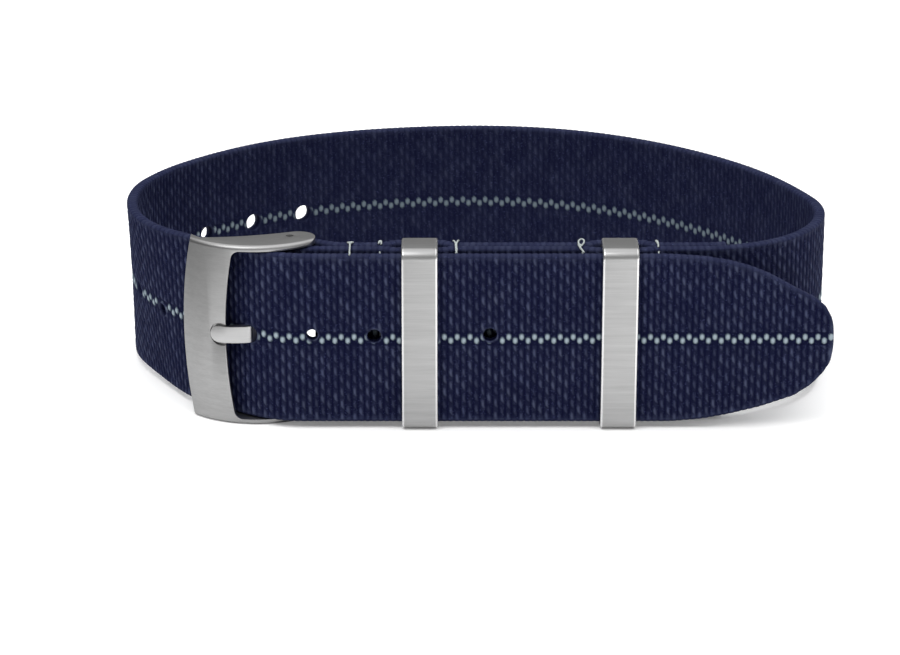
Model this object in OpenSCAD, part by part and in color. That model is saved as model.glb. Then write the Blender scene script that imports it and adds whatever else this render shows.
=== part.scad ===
// Stretch watch band: an elastic woven strap closed by a pin buckle, shown buckled as a standing loop.
// Millimetres, +Z up. The band stands on its edge, the buckle side faces -Y, the wrist opening runs along Z.
// The origin is the bottom centre of the whole band.

/* [Webbing] */
// width of the woven strap
webbing_width = 19.8; // [14:0.1:24]
// thickness of the woven strap
webbing_thickness = 1.3; // [0.9:0.05:1.8]
// straight free end, from its tip to where it bends behind the buckle
tail_length = 59.3; // [45:0.5:75]
// where that bend starts, measured along the front
bend_start = -19.5; // [-22:0.5:-17]
// long side curve of the tapered tip
tip_side_radius = 20; // [16:0.5:30]
// round end of the tapered tip
tip_end_radius = 5.5; // [3:0.25:7]

/* [Loop] */
// radius of the bend behind the buckle
bend_radius = 10.5; // [8:0.5:14]
// how far the free end turns at that bend
bend_angle = 35.3; // [28:0.1:42]
// straight run from the bend to the left side
left_run = 6.5; // [4:0.5:10]
// radius of the left side
left_radius = 21.3; // [16:0.1:24]
// how far the left side turns
left_angle = 91.8; // [84:0.1:100]
// radius of the back
back_radius = 42.3; // [36:0.1:50]
// radius of the right side
right_radius = 14.85; // [11:0.05:18]
// heading at which the back gives way to the right side
back_end_heading = 45; // [20:1:60]
// level part of the right side that belongs to the outer layer
seam_angle = 16; // [12:1:24]

/* [Adjusting holes] */
// radius of a hole
hole_radius = 0.8; // [0.4:0.05:1.1]
// spacing of the holes along the strap
hole_pitch = 6.5; // [5:0.1:8]
// first hole, from the tip
hole_first = 38.4; // [25:0.1:45]
// number of holes
hole_count = 14; // [6:1:18]

/* [Layers and pockets] */
// free space between the tail and the outer layer
tail_gap = 1.3; // [0.9:0.05:2]
// how far the outer layer bulges forward at a keeper
pocket_front = 0.4; // [0.1:0.05:0.7]
// half length of the flat part of a pocket
pocket_half = 2.35; // [2.2:0.05:2.8]
// length over which a pocket closes again
pocket_ramp = 1.75; // [1.2:0.05:2.5]
// play in front of the keeper in its pocket
pocket_play_front = 0.15; // [0.1:0.05:0.3]
// play behind the keeper in its pocket
pocket_play_back = 0.45; // [0.1:0.05:0.6]
// how far the lining reaches round the right side
lining_end_angle = 13; // [4:1:15]

/* [Stitching] */
// thickness of the thread
thread = 0.35; // [0.2:0.05:0.5]
// row beside a keeper, from the keeper's middle
row_offset = 4.25; // [4:0.05:5]
// row that closes the fold round the spring bar
fold_row = -14.3; // [-16:0.1:-13]

/* [Keepers] */
// length of a keeper along the strap
keeper_length = 4.2; // [3:0.1:4.6]
// wall of a keeper
keeper_wall = 0.7; // [0.4:0.05:1]
// outer corner radius
keeper_corner = 1.0; // [0.75:0.05:1.6]
// inner corner radius
keeper_inner_corner = 0.3; // [0.1:0.05:0.5]
// middle of the keeper beside the buckle
near_keeper = -6.7; // [-7.5:0.1:-6]
// middle of the far keeper
far_keeper = 15.9; // [12:0.1:17]

/* [Buckle frame] */
// front arch radius
arch_radius = 9.93; // [9.5:0.1:11]
// arch centre from the bar, along the strap
arch_centre_x = -3.8; // [-4.5:0.1:-3]
// arch centre from the bar, backwards
arch_centre_y = 5.98; // [5.5:0.1:6.5]
// radius of the arms' back edge
arm_back_radius = 28.97; // [26:0.5:34]
// centre of the arms' back edge from the bar, along the strap
arm_back_x = -10.57; // [-12:0.1:-9]
// least depth of an arm behind the bar
arm_back_depth = 1.28; // [1.0:0.05:1.8]
// round end of an arm
arm_end_radius = 1.95; // [1.6:0.05:2.05]
// thickness of an arm
arm_wall = 0.65; // [0.5:0.05:0.65]
// thickness of the front plate
plate_wall = 1.0; // [0.8:0.05:1.1]
// rounding where the plate turns into the arms
frame_corner = 0.5; // [0.3:0.05:1.2]
// radius of the bow of the plate's two edges
edge_bow_radius = 54.5; // [40:0.5:80]
// left edge of the plate at mid height, from the bar
plate_left = -11.96; // [-12.4:0.05:-11.5]
// right edge of the plate at mid height, from the bar
plate_right = -7.1; // [-7.6:0.05:-6.9]
// corner of the window
window_corner = 1.0; // [0.3:0.05:1.2]

/* [Tang] */
// width of the tang
tang_width = 1.9; // [1.4:0.05:2.2]
// thickness of the tang
tang_thick = 0.8; // [0.6:0.05:0.9]
// thickness of the tip that rests in the notch
tip_thick = 0.45; // [0.3:0.05:0.5]
// slope of the front of the tang
tang_slope = 21.8; // [18:0.5:24]
// where the tang bends into the hole, from the bar, along the strap
tang_bend_x = -4.35; // [-4.6:0.05:-4.1]
// the same, forwards
tang_bend_y = -4.1; // [-4.3:0.05:-3.9]
// length from that bend to the tip
tang_reach = 4.65; // [4.4:0.05:4.7]
// radius of the notch in the plate
notch_radius = 1.35; // [1.2:0.05:1.6]
// play round the tang in its notch
notch_play = 0.05; // [0.02:0.01:0.1]
// wall of the tang's eye
eye_wall = 0.7; // [0.5:0.05:0.8]

/* [Spring bar] */
// bar position along the front
bar_x = -21.1; // [-21.5:0.1:-20.5]
// outer radius of the bar tube
bar_radius = 0.9; // [0.75:0.05:1]
// wall of the bar tube
bar_wall = 0.25; // [0.15:0.01:0.3]
// play round the bar
bar_play = 0.05; // [0.02:0.01:0.1]
// length of the bar tube
bar_length = 16.9; // [14:0.1:17]
// how much further back the fold lies than the outer layer
fold_step = 0.15; // [0:0.05:0.4]
// radius of a plunger's tip
plunger_tip = 0.4; // [0.3:0.02:0.5]
// running play of the plunger in an arm and in the tube's mouth
plunger_play = 0.03; // [0.02:0.01:0.06]
// radius of the plunger's neck
plunger_neck = 0.5; // [0.4:0.02:0.52]
// radius of the plunger's collar
plunger_collar = 0.75; // [0.65:0.01:0.8]
// how far a plunger's tip stays below the arm's face
plunger_recess = 0.25; // [0:0.05:0.3]
// wire of the bar's spring
spring_wire = 0.12; // [0.08:0.01:0.16]
// turns of the bar's spring
spring_turns = 18; // [10:1:24]

/* [Clearances] */
// play between the webbing's edge and the metal
edge_gap = 0.05; // [0.03:0.01:0.1]
// play between the tail and a keeper's front
front_gap = 0.1; // [0.05:0.01:0.2]

/* [Hidden] */
$fn = 96;
over = 1;
seam_lap = 0.002;
hole_in_use = 4;
half = webbing_thickness / 2;
rim = keeper_wall + edge_gap;
height = webbing_width + 2 * rim;
mid_z = height / 2;
tip_x = bend_start + tail_length;

// the tapered tip: two side curves that run into a round end
tip_centre_x = tip_x - tip_end_radius;
side_gap = tip_side_radius - tip_end_radius;
side_drop = tip_side_radius - webbing_width / 2;
taper_x = tip_centre_x - sqrt(side_gap * side_gap - side_drop * side_drop);
touch_x = taper_x + tip_side_radius * (tip_centre_x - taper_x) / side_gap;

// the loop as tangent arcs, walked from the tail bend round the left, the back and the right
ply_y = webbing_thickness + tail_gap + half;
lining_y = ply_y + webbing_thickness;
bend_c = [bend_start, half + bend_radius];
bend_end = bend_c + bend_radius * [-sin(bend_angle), -cos(bend_angle)];
run_end = bend_end + left_run * [-cos(bend_angle), sin(bend_angle)];
left_c = run_end + left_radius * [sin(bend_angle), cos(bend_angle)];
left_out = 180 - bend_angle - left_angle;
left_normal = [sin(left_out), -cos(left_out)];
back_c = left_c + (back_radius - left_radius) * left_normal;
back_from = 90 + left_out;
back_to = asin((ply_y + right_radius - back_c[1]) / (back_radius - right_radius));
back_split = 90 - back_end_heading;
right_c = back_c + (back_radius - right_radius) * [cos(back_to), sin(back_to)];

along_left = tail_length + bend_radius * bend_angle * PI / 180 + left_run;
along_back = along_left + left_radius * left_angle * PI / 180;

// overall box, and the small lean that lets the back's lower edge stand on the same plane as the metal
loop_left = left_c[0] - left_radius - half;
loop_right = right_c[0] + right_radius + half;
loop_back = back_c[1] + back_radius + half;
lean = asin(rim / (loop_back - half));
front_y = -front_gap - keeper_wall;
back_y = half + (loop_back - half) * cos(lean) + webbing_width * sin(lean);
shift_x = -(loop_left + max(loop_right, tip_x)) / 2;
shift_y = -(front_y + back_y) / 2;

// pockets, fold and bar
leg_front = ply_y - pocket_front + half + pocket_play_front;
leg_back = leg_front + keeper_wall;
lining_bulge = leg_back + pocket_play_back + half - lining_y;

fold_radius = bar_radius + bar_play + half;
fold_outer = fold_radius + webbing_thickness;
bar_y = ply_y + fold_step + fold_radius;
bar = [bar_x, bar_y];
bar_low = mid_z - bar_length / 2;
ramp_steps = 8;
fold_steps = 14;
fold_end = fold_row - thread;

// buckle frame
arch_c = bar + [arch_centre_x, arch_centre_y];
arm_back_run = sqrt(arm_back_radius * arm_back_radius - arm_back_x * arm_back_x);
arm_back_c = bar + [arm_back_x, arm_back_depth + arm_back_run];
arm_end = meet(arch_c, arch_radius - arm_end_radius, arm_back_c, arm_back_radius + arm_end_radius);
arm_front_touch = arch_c + arch_radius * unit(arm_end - arch_c);
arm_back_touch = arm_back_c + arm_back_radius * unit(arm_end - arm_back_c);
left_bow_x = bar_x + plate_left + edge_bow_radius;
right_bow_x = bar_x + plate_right + edge_bow_radius;
window_top = height - arm_wall - window_corner;
window_run = edge_bow_radius - window_corner;
window_x = right_bow_x - sqrt(window_run * window_run - (window_top - mid_z) * (window_top - mid_z));

// tang: a flat bar bent once, with an eye round the spring bar
tang_bend = bar + [tang_bend_x, tang_bend_y];
tang_heading = atan2(-tang_bend_y, -tang_bend_x);
shank = norm([tang_bend_x, tang_bend_y]);
tang_step = bar_x + plate_right + 0.3;
eye_inner = bar_radius + bar_play;
eye_outer = eye_inner + eye_wall;
notch_along = tang_reach - tang_width / 2 - 0.3;
slot_width = tang_width + 0.5;
tang_hole = sqrt(tang_thick * tang_thick + tang_width * tang_width) / 2 + 0.1;

// spring bar
tube_inner = bar_radius - bar_wall;
collar_low = height - arm_wall - 0.05 - 0.4;
head_low = bar_low + bar_length - 1.7;
head_radius = tube_inner - 0.08;
spring_low = height - head_low + 0.02;
spring_high = head_low - 0.02;
spring_radius = head_radius - spring_wire / 2;

navy = [0.08, 0.10, 0.20];
steel = [0.70, 0.70, 0.69];
white = [0.86, 0.87, 0.88];

function unit(v) = v / norm(v);

// upper-right meeting point of two circles
function meet(c1, r1, c2, r2) =
    let (d = norm(c2 - c1), a = (r1 * r1 - r2 * r2 + d * d) / (2 * d), u = unit(c2 - c1))
    let (h = sqrt(r1 * r1 - a * a))
    c1 + a * u + h * [u[1], -u[0]];

// wedge of a circle as a polygon, from angle a to angle b
function wedge(r, a, b) = concat(
    [[0, 0]],
    [for (i = [0 : 6]) let (t = a + (b - a) * i / 6) r * [cos(t), sin(t)]]);

// ease from 0 to 1
function ease(t) = (1 - cos(180 * max(0, min(1, t)))) / 2;

// how much of a pocket's bulge is there at x
function bulge(x, k) = 1 - ease((abs(x - k) - pocket_half) / pocket_ramp);
function bulges(x) = max(bulge(x, near_keeper), bulge(x, far_keeper));
function ramp(a, b) = [for (i = [0 : ramp_steps]) a + (b - a) * i / ramp_steps];
function pocket_xs(k) = concat(
    ramp(k - pocket_half - pocket_ramp, k - pocket_half),
    ramp(k + pocket_half, k + pocket_half + pocket_ramp));
function layer_xs() = concat([fold_row], pocket_xs(near_keeper), pocket_xs(far_keeper), [right_c[0]]);

// point and heading at a distance s along the strap from its tip
function at_tail(s) = [tip_x - s, half, 180];
function on_arc(c, r, a, h) = [c[0] + r * cos(a), c[1] + r * sin(a), h];
function turn(s, r) = s / (PI * r) * 180;
function along(s) = let (
        s1 = s - tail_length,
        s2 = s1 - bend_radius * bend_angle * PI / 180,
        s3 = s2 - left_run,
        s4 = s3 - left_radius * left_angle * PI / 180)
    s1 < 0 ? at_tail(s) :
    s2 < 0 ? on_arc(bend_c, bend_radius, -90 - turn(s1, bend_radius), 180 - turn(s1, bend_radius)) :
    s3 < 0 ? [bend_end[0] - s2 * cos(bend_angle), bend_end[1] + s2 * sin(bend_angle), 180 - bend_angle] :
    s4 < 0 ? on_arc(left_c, left_radius, -90 - bend_angle - turn(s3, left_radius),
        180 - bend_angle - turn(s3, left_radius)) :
    on_arc(back_c, back_radius, back_from - turn(s4, back_radius), left_out - turn(s4, back_radius));

// wall of webbing along an arc
module arc_wall(c, r, a, b)
    translate([c[0], c[1], rim]) linear_extrude(webbing_width) intersection() {
        difference() {
            circle(r + half);
            circle(r - half);
        }
        polygon(wedge(2 * r, a, b));
    }

// wall of webbing between two curves of points
module strip(front, rear)
    translate([0, 0, rim]) linear_extrude(webbing_width)
        polygon(concat(front, [for (i = [len(rear) - 1 : -1 : 0]) rear[i]]));

module leaning()
    translate([0, half, rim]) rotate([-lean, 0, 0]) translate([0, -half, -rim]) children();

module placed() translate([shift_x, shift_y, 0]) children();

// the row of adjusting holes in the part of the strap between two distances from the tip
module holes(from, to)
    for (k = [0 : hole_count - 1]) {
        s = hole_first + k * hole_pitch;
        p = along(s);
        if (k != hole_in_use && s > from - 2 && s < to + 2)
            translate([p[0], p[1], mid_z]) rotate([90, 0, p[2] - 180])
                cylinder(r = hole_radius, h = webbing_thickness + 2 * over, center = true);
    }

// the tail: straight webbing with an arched, tapered tip
module tail_webbing() color(navy) placed() difference() {
    translate([0, webbing_thickness, mid_z]) rotate([90, 0, 0]) linear_extrude(webbing_thickness) union() {
        translate([bend_start, -webbing_width / 2]) square([taper_x - bend_start, webbing_width]);
        intersection() {
            translate([taper_x, webbing_width / 2 - tip_side_radius]) circle(tip_side_radius, $fn = 180);
            translate([taper_x, tip_side_radius - webbing_width / 2]) circle(tip_side_radius, $fn = 180);
            translate([taper_x, -webbing_width]) square([touch_x - taper_x, 2 * webbing_width]);
        }
        translate([tip_centre_x, 0]) circle(tip_end_radius);
    }
    holes(0, tail_length);
}

// where the tail dives under the buckle's plate: the hole that the tang uses is drawn to the tang's slant
module tail_at_buckle() color(navy) placed() leaning() difference() {
    union() {
        arc_wall(bend_c, bend_radius, -90 - bend_angle, -90);
        translate([bend_end[0], bend_end[1], rim]) rotate([0, 0, 180 - bend_angle])
            translate([-seam_lap, -half, 0]) cube([left_run + seam_lap, webbing_thickness, webbing_width]);
    }
    holes(tail_length, along_left);
    translate([bar_x, bar_y, mid_z]) rotate([0, 0, tang_heading]) rotate([0, -90, 0])
        cylinder(r = tang_hole, h = shank + over);
}

module left_side() color(navy) placed() leaning() difference() {
    arc_wall(left_c, left_radius, -90 - bend_angle - left_angle, -90 - bend_angle);
    holes(along_left, along_back);
}

module back() color(navy) placed() leaning() difference() {
    arc_wall(back_c, back_radius, back_split, back_from);
    holes(along_back, along_back + back_radius * PI / 2);
}

module right_side() color(navy) placed() leaning() {
    arc_wall(back_c, back_radius, back_to, back_split);
    arc_wall(right_c, right_radius, seam_angle - 90, back_to + 0.3);
}

// outer layer under the tail, bulged forward where a keeper's back leg lies behind it
module outer_layer() color(navy) placed() {
    strip([for (x = layer_xs()) [x, ply_y - pocket_front * bulges(x) - half]],
        [for (x = layer_xs()) [x, ply_y - pocket_front * bulges(x) + half]]);
    arc_wall(right_c, right_radius, -90.3, seam_angle - 90);
}

// lining layer against the wrist, bulged back over the keepers' legs
module lining_layer() color(navy) placed() {
    strip([for (x = layer_xs()) [x, lining_y + lining_bulge * bulges(x) - half]],
        [for (x = layer_xs()) [x, lining_y + lining_bulge * bulges(x) + half]]);
    arc_wall(right_c, right_radius - webbing_thickness, -90.3, lining_end_angle - 90);
}

// fold round the spring bar, with a slot for the eye of the tang; its two ends lie flat under the thread
function fold_x(i) = bar_x + (fold_end - bar_x) * i / fold_steps;
function fold_ease(x) = ease((x - bar_x) / (fold_end - bar_x));
function fold_front(x) = bar_y - fold_radius + (ply_y - bar_y + fold_radius) * fold_ease(x);
function fold_rear(x) = bar_y + fold_radius + (lining_y - bar_y - fold_radius) * fold_ease(x);
function fold_outline(d, skip) = concat(
    skip > 0 ? [] : [[fold_row, ply_y - d]],
    [for (i = [fold_steps - skip : -1 : 0]) [fold_x(i), fold_front(fold_x(i)) - d]],
    [for (a = [264 : -6 : 96]) bar + (fold_radius + d) * [cos(a), sin(a)]],
    [for (i = [0 : fold_steps - skip]) [fold_x(i), fold_rear(fold_x(i)) + d]],
    skip > 0 ? [] : [[fold_row, lining_y + d]]);
module bar_fold() color(navy) placed() difference() {
    translate([0, 0, rim]) linear_extrude(webbing_width) difference() {
        polygon(fold_outline(half, 0));
        polygon(fold_outline(-half, 1));
    }
    translate([bar_x - fold_outer, bar_y - fold_outer, mid_z - slot_width / 2])
        cube([fold_outer + eye_outer + 0.2, 2 * fold_outer, slot_width]);
}

// one row of thread, over both faces and round both edges of the two layers
module stitch_row(x) color(white) placed() difference() {
    translate([x - thread / 2, ply_y - half - thread, rim - thread])
        cube([thread, 2 * webbing_thickness + 2 * thread, webbing_width + 2 * thread]);
    translate([x - over, ply_y - half, rim]) cube([2 * over, 2 * webbing_thickness, webbing_width]);
}
module stitch_row_1() stitch_row(fold_row);
module stitch_row_2() stitch_row(near_keeper - row_offset);
module stitch_row_3() stitch_row(near_keeper + row_offset);
module stitch_row_4() stitch_row(far_keeper - row_offset);
module stitch_row_5() stitch_row(far_keeper + row_offset);

// rectangle with round corners, from a to b
module rounded(a, b, r) {
    translate([a[0] + r, a[1]]) square([b[0] - a[0] - 2 * r, b[1] - a[1]]);
    translate([a[0], a[1] + r]) square([b[0] - a[0], b[1] - a[1] - 2 * r]);
    for (x = [a[0] + r, b[0] - r], y = [a[1] + r, b[1] - r])
        translate([x, y]) circle(r, $fn = 48);
}

// keeper: a closed sheet-metal loop held in its pocket, with the tail running through it
module keeper(x) color(steel) placed()
    translate([x - keeper_length / 2, 0, 0]) rotate([90, 0, 90]) linear_extrude(keeper_length) difference() {
        rounded([front_y, 0], [leg_back, height], keeper_corner);
        rounded([-front_gap, keeper_wall], [leg_front, height - keeper_wall], keeper_inner_corner);
    }
module keeper_near() keeper(near_keeper);
module keeper_far() keeper(far_keeper);

// plan of an arm: a crescent between the arch and the back edge, ending round past the bar
module arm_plan() {
    intersection() {
        difference() {
            translate(arch_c) circle(arch_radius, $fn = 180);
            translate(arm_back_c) circle(arm_back_radius, $fn = 240);
        }
        polygon([arm_front_touch, arm_back_touch, arm_back_touch + [-30, 20], arm_front_touch + [-30, -20]]);
    }
    translate(arm_end) circle(arm_end_radius);
}

// block turned about the arch's axis, with its rim rounded
module arch_block(r, low, high, corner)
    translate([arch_c[0], arch_c[1], 0]) rotate_extrude($fn = 180) {
        translate([0, low]) square([r - corner, high - low]);
        translate([0, low + corner]) square([r, high - low - 2 * corner]);
        for (z = [low + corner, high - corner])
            translate([r - corner, z]) circle(corner, $fn = 48);
    }

// window right of the plate, bowed like the plate's edge and rounded in its two corners
module window_front() {
    difference() {
        intersection() {
            translate([right_bow_x, mid_z]) circle(edge_bow_radius, $fn = 240);
            translate([right_bow_x - 2 * edge_bow_radius, arm_wall])
                square([2 * edge_bow_radius, height - 2 * arm_wall]);
        }
        for (s = [-1, 1])
            translate([window_x - 3, mid_z + s * (window_top - mid_z + window_corner / 2)])
                translate([0, -window_corner / 2]) square([3, window_corner]);
    }
    for (s = [-1, 1])
        translate([window_x, mid_z + s * (window_top - mid_z)]) circle(window_corner);
}

// buckle frame: two crescent arms joined by an arched, bowed front plate
module buckle_frame() color(steel) placed() difference() {
    intersection() {
        arch_block(arch_radius, 0, height, frame_corner);
        linear_extrude(height) union() {
            arm_plan();
            translate(arch_c) difference() {
                polygon(wedge(2 * arch_radius, 200, 258));
                circle(arch_radius - plate_wall, $fn = 180);
            }
        }
        translate([0, arch_c[1], 0]) rotate([90, 0, 0]) linear_extrude(2 * arch_radius)
            translate([left_bow_x, mid_z]) circle(edge_bow_radius, $fn = 240);
    }
    arch_block(arch_radius - plate_wall, arm_wall, height - arm_wall, 0.3);
    translate([0, arch_c[1], 0]) rotate([90, 0, 0]) linear_extrude(2 * arch_radius) window_front();
    translate([bar_x, bar_y, -over]) cylinder(r = plunger_tip + plunger_play, h = height + 2 * over);
    on_tang_front(notch_along, -tip_thick - notch_play) cylinder(r = notch_radius, h = 3);
}

// puts things on the front line of the tang: a distance ahead of its bend, and a height above that line
module on_tang_front(ahead, up)
    translate([tang_bend[0], tang_bend[1], mid_z]) rotate([0, 0, -tang_slope])
        translate([-ahead, -tang_thick / 2 - up, 0]) rotate([90, 0, 0]) children();

// tang: eye round the bar, shank through the hole, thin round tip in the notch
module tang() color(steel) placed() difference() {
    union() {
        translate([bar_x, bar_y, mid_z - tang_width / 2]) cylinder(r = eye_outer, h = tang_width);
        translate([bar_x, bar_y, mid_z - tang_width / 2]) rotate([0, 0, tang_heading])
            translate([-shank, -tang_thick / 2, 0]) cube([shank, tang_thick, tang_width]);
        translate([tang_bend[0], tang_bend[1], mid_z - tang_width / 2])
            cylinder(r = tang_thick / 2, h = tang_width, $fn = 48);
        on_tang_front(0, 0) translate([-(tang_reach - tang_width / 2), -tang_width / 2, -tang_thick])
            cube([tang_reach - tang_width / 2, tang_width, tang_thick]);
        on_tang_front(tang_reach - tang_width / 2, -tip_thick)
            cylinder(r = tang_width / 2, h = tip_thick, $fn = 48);
    }
    translate([bar_x, bar_y, -over]) cylinder(r = eye_inner, h = height + 2 * over);
    on_tang_front(0, -tip_thick) translate([-2 * tang_reach, -tang_width, -2])
        cube([2 * tang_reach - (tang_bend[0] - tang_step) / cos(tang_slope), 2 * tang_width, 2]);
}

// spring bar tube, turned in at both mouths to hold the plungers
module bar_tube() color(steel) placed() translate([bar_x, bar_y, 0]) difference() {
    translate([0, 0, bar_low]) cylinder(r = bar_radius, h = bar_length);
    translate([0, 0, bar_low + 0.3]) cylinder(r = tube_inner, h = bar_length - 0.6);
    translate([0, 0, -over]) cylinder(r = plunger_neck + plunger_play, h = height + 2 * over);
}

// upper plunger: head in the tube, neck through its mouth, collar, and tip in the arm
module plunger() translate([bar_x, bar_y, 0]) union() {
    translate([0, 0, head_low]) cylinder(r = head_radius, h = 1.3);
    translate([0, 0, head_low]) cylinder(r = plunger_neck, h = collar_low + 0.2 - head_low);
    translate([0, 0, collar_low]) cylinder(r = plunger_collar, h = 0.4);
    translate([0, 0, collar_low]) cylinder(r = plunger_tip, h = height - plunger_recess - collar_low);
}
module plunger_top() color(steel) placed() plunger();
module plunger_bottom() color(steel) placed() translate([0, 0, height]) mirror([0, 0, 1]) plunger();

// coil spring between the two plungers
coil_sides = 6;
coil_steps = 16;
function coil_point(i, j) = let (
        t = 360 * i / coil_steps,
        u = 360 * j / coil_sides,
        r = spring_radius + spring_wire / 2 * cos(u),
        rise = (spring_high - spring_low - spring_wire) / (spring_turns * coil_steps),
        z = spring_low + spring_wire / 2 + rise * i)
    [bar_x + r * cos(t), bar_y + r * sin(t), z + spring_wire / 2 * sin(u)];
module bar_spring() color(steel) placed() {
    rings = spring_turns * coil_steps;
    polyhedron(
        points = [for (i = [0 : rings], j = [0 : coil_sides - 1]) coil_point(i, j)],
        faces = concat(
            [[for (j = [0 : coil_sides - 1]) j]],
            [for (i = [0 : rings - 1], j = [0 : coil_sides - 1])
                let (n = (j + 1) % coil_sides)
                [i * coil_sides + j, (i + 1) * coil_sides + j, (i + 1) * coil_sides + n, i * coil_sides + n]],
            [[for (j = [coil_sides - 1 : -1 : 0]) rings * coil_sides + j]]));
}

tail_webbing();
tail_at_buckle();
left_side();
back();
right_side();
outer_layer();
bar_fold();
lining_layer();
stitch_row_1();
stitch_row_2();
stitch_row_3();
stitch_row_4();
stitch_row_5();
buckle_frame();
tang();
bar_tube();
bar_spring();
plunger_top();
plunger_bottom();
keeper_near();
keeper_far();
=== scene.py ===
"""Stretch watch band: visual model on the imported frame. Sizes are in mm and turned into metres at the end."""
import math

import bmesh
import bpy
import numpy as np
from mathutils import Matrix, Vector


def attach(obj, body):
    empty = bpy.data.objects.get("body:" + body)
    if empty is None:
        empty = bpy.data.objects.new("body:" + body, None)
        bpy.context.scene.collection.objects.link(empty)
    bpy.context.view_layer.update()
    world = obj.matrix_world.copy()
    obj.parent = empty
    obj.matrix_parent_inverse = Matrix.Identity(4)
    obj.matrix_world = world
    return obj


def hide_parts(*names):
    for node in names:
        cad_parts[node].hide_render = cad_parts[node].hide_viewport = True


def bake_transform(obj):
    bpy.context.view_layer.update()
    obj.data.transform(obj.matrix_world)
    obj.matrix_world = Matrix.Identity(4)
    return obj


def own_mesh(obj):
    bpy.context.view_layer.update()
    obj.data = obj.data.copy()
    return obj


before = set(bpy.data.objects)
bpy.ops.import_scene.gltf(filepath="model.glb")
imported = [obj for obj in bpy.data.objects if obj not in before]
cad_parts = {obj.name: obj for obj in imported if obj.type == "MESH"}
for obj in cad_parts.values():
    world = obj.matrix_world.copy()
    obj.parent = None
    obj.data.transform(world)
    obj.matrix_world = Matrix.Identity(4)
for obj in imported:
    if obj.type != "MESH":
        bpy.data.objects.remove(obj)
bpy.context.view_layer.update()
MM = 0.001

# sizes shared with the part
WIDTH, THICK = 19.8, 1.3
HALF, HALF_WIDTH = THICK / 2, WIDTH / 2
RIM = 0.75                          # how far the keepers stand past the webbing's edges
HEIGHT = WIDTH + 2 * RIM
MID_Z = HEIGHT / 2
FRONT_Y = -0.8                      # front face of the keepers
BEND_START, TAIL = -19.5, 59.3      # left end and length of the level front
TIP_X = BEND_START + TAIL
BEND_R, BEND_A, RUN = 10.5, 35.3, 6.5
LEFT_R, LEFT_A, BACK_R, RIGHT_R = 21.3, 91.8, 42.3, 14.85
TAIL_GAP = 1.3
PLY_Y = THICK + TAIL_GAP + HALF     # middle of the outer layer
LINING_Y = PLY_Y + THICK
POCKET_FRONT, POCKET_BACK, POCKET_HALF, POCKET_RAMP = 0.4, 0.9, 2.35, 1.75
KEEPER_X = (-6.7, 15.9)
KEEPER_LONG, KEEPER_WALL = 4.2, 0.7
LINING_END_A = 13.0
FOLD_ROW = -14.3                    # the stitches that close the fold
FOLD_END = FOLD_ROW - 0.35
BAR_R, BAR_PLAY = 0.9, 0.05
FOLD_R = BAR_R + BAR_PLAY + HALF
BAR = (-21.1, PLY_Y + 0.15 + FOLD_R)
HOLE_FIRST, HOLE_PITCH, HOLES, HOLE_USED = 38.4, 6.5, 14, 4
TANG_BEND = (-4.35, -4.1)           # from the bar to where the tang bends level


def sind(a):
    return math.sin(math.radians(a))


def cosd(a):
    return math.cos(math.radians(a))


# centres and ends of the tangent arcs that make the loop
BEND_C = (BEND_START, HALF + BEND_R)
BEND_END = (BEND_C[0] - BEND_R * sind(BEND_A), BEND_C[1] - BEND_R * cosd(BEND_A))
RUN_END = (BEND_END[0] - RUN * cosd(BEND_A), BEND_END[1] + RUN * sind(BEND_A))
LEFT_C = (RUN_END[0] + LEFT_R * sind(BEND_A), RUN_END[1] + LEFT_R * cosd(BEND_A))
LEFT_OUT = 180 - BEND_A - LEFT_A
BACK_C = (LEFT_C[0] + (BACK_R - LEFT_R) * sind(LEFT_OUT),
          LEFT_C[1] - (BACK_R - LEFT_R) * cosd(LEFT_OUT))
BACK_TO = math.degrees(math.asin((PLY_Y + RIGHT_R - BACK_C[1]) / (BACK_R - RIGHT_R)))
RIGHT_C = (BACK_C[0] + (BACK_R - RIGHT_R) * cosd(BACK_TO),
           BACK_C[1] + (BACK_R - RIGHT_R) * sind(BACK_TO))
LOOP_BACK = BACK_C[1] + BACK_R + HALF
LEAN = math.asin(RIM / (LOOP_BACK - HALF))
LOOP_LEFT = LEFT_C[0] - LEFT_R - HALF
LOOP_RIGHT = RIGHT_C[0] + RIGHT_R + HALF
BACK_Y = HALF + (LOOP_BACK - HALF) * math.cos(LEAN) + WIDTH * math.sin(LEAN)
SHIFT = (-(LOOP_LEFT + max(LOOP_RIGHT, TIP_X)) / 2, -(FRONT_Y + BACK_Y) / 2)


def row(x, y, z):
    """A point of the drawing, in mm, as a point of the shared frame, in metres."""
    return ((x + SHIFT[0]) * MM, (y + SHIFT[1]) * MM, z * MM)


def ease(t):
    return (1 - np.cos(np.pi * np.clip(t, 0, 1))) / 2


def bulges(x):
    """How far open the pockets between the two layers are, 0 to 1."""
    return np.maximum(*[1 - ease((np.abs(x - k) - POCKET_HALF) / POCKET_RAMP) for k in KEEPER_X])


def arc_points(c, r, a, b, step=0.05):
    n = max(2, int(abs(math.radians(b - a)) * r / step))
    t = np.radians(np.linspace(a, b, n))
    return np.c_[c[0] + r * np.cos(t), c[1] + r * np.sin(t)]


def line_points(a, b, y, step=0.05):
    x = np.linspace(a, b, max(2, int(abs(b - a) / step)))
    return np.c_[x, y(x) if callable(y) else np.full_like(x, y)]


def fold_front(x):
    t = ease((x - BAR[0]) / (FOLD_END - BAR[0]))
    return BAR[1] - FOLD_R + (PLY_Y - BAR[1] + FOLD_R) * t


def fold_rear(x):
    t = ease((x - BAR[0]) / (FOLD_END - BAR[0]))
    return BAR[1] + FOLD_R + (LINING_Y - BAR[1] - FOLD_R) * t


def smoothing(points):
    """Bell of weights that add up to 1."""
    k = np.hanning(points)
    return k / k.sum()


LINE_STEP = 0.02
LINE_SMOOTHED = 21                  # points of the middle line that are averaged
LINE_KEPT = 12                      # points at either end that aren't


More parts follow.
